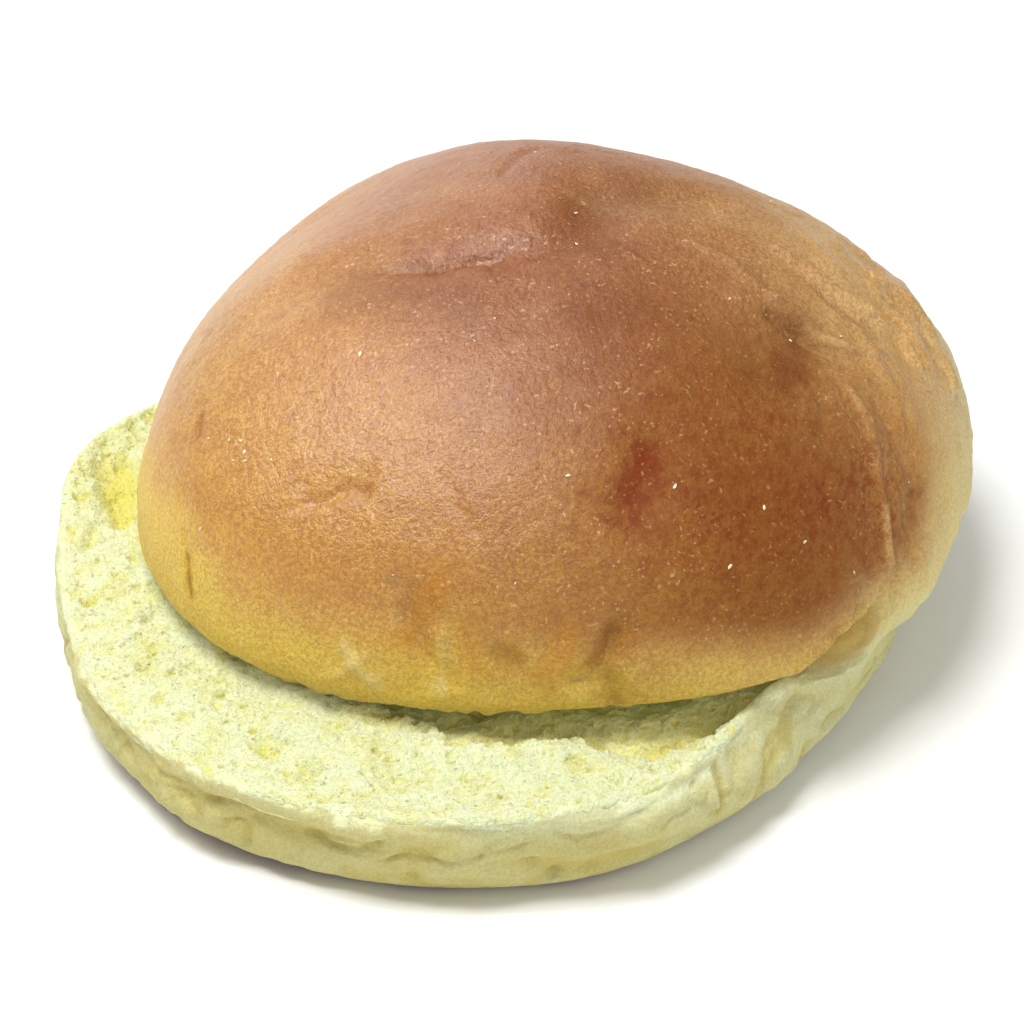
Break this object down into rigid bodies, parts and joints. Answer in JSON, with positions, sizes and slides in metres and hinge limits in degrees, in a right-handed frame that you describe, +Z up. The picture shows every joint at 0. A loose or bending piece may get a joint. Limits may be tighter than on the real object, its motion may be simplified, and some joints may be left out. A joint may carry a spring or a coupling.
{
  "type": "bread roll",
  "caption": "Soft round bread roll, sliced nearly through and still hinged at one side, its golden crown pushed back over the pale heel to show the crumb.",
  "frame": {"origin": "middle of the roll's bounding box in plan, on the surface that the roll rests on", "axes": "+Z up, +Y away from the side that shows the cut face, +X towards the hinge"},
  "size_m": [0.1228, 0.1338, 0.0583],
  "materials": {
    "crust": "thin baked crust, golden to reddish brown on the crown with a soft sheen, pale cream on the heel and at the hinge",
    "crumb": "open, soft, pale yellow crumb, matt"
  },
  "bodies": {
    "root": {"roll": "crust"}
  },
  "joints": []
}
